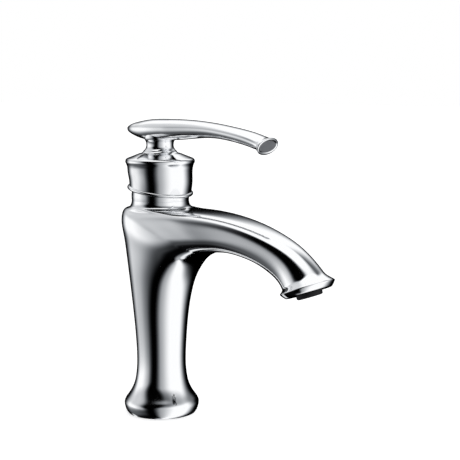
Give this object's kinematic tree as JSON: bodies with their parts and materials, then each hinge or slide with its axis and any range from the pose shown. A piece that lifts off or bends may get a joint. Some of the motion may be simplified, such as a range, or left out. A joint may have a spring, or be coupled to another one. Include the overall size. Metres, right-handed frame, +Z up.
{
  "type": "bathroom mixer faucet",
  "caption": "Single-lever deck-mounted basin mixer faucet in polished chrome: an arched spout flows out of a waisted column, with a lever hood on a ball neck over a ceramic cartridge.",
  "frame": {"origin": "centre of the foot on the basin's deck, on the axis of the deck's tap hole", "axes": "+X along the spout, +Z up along the column, +Y to the left when looking out along the spout"},
  "size_m": [0.1625, 0.05, 0.1961],
  "materials": {
    "chrome_plate": "polished",
    "satin_cap": "satin",
    "black_rubber": "matte",
    "brass": "satin",
    "stem_brass": "satin",
    "white_plastic": "satin",
    "grey_plastic": "satin",
    "red_plastic": "satin",
    "plug_plastic": "gloss",
    "black_plastic": "satin",
    "ceramic": "satin",
    "steel": "satin"
  },
  "bodies": {
    "fixture": {"faucet_body": "chrome_plate", "stud_lug": "brass", "base_gasket": "black_rubber", "ball_collar": "chrome_plate", "retaining_nut": "brass", "port_plate": "brass", "cartridge_housing": "white_plastic", "cartridge_base": "white_plastic", "port_seals": "black_rubber", "disc_seals": "black_rubber", "fixed_ceramic_disc": "ceramic", "hot_limit_ring": "red_plastic", "aerator_housing": "black_plastic", "aerator_screen": "black_plastic", "aerator_core": "black_plastic", "aerator_washer": "black_rubber"},
    "rotor": {"cartridge_rotor": "white_plastic", "stem_pin": "steel"},
    "valve_disc": {"moving_ceramic_disc": "ceramic", "disc_carrier": "grey_plastic"},
    "handle": {"lever_arm": "chrome_plate", "handle_hood": "chrome_plate", "lever_end_cap": "satin_cap", "handle_screw": "steel", "set_screw": "steel", "screw_plug": "plug_plastic", "cartridge_stem": "stem_brass"}
  },
  "joints": [
    {"name": "temperature", "type": "hinge", "parent": "fixture", "child": "rotor", "pos_m": [0, 0, 0.145], "axis": [0, 0, 1], "range_deg": [-50, 50]},
    {"name": "lever_lift", "type": "hinge", "parent": "rotor", "child": "handle", "pos_m": [0, 0, 0.145], "axis": [0, -1, 0], "range_deg": [0, 22]},
    {"name": "disc_slide", "type": "slide", "parent": "rotor", "child": "valve_disc", "axis": [1, 0, 0], "range_m": [0, 0.004]}
  ],
  "couplings": [
    {"joint": "disc_slide", "follows": "lever_lift", "m_per_rad": 0.010244}
  ]
}
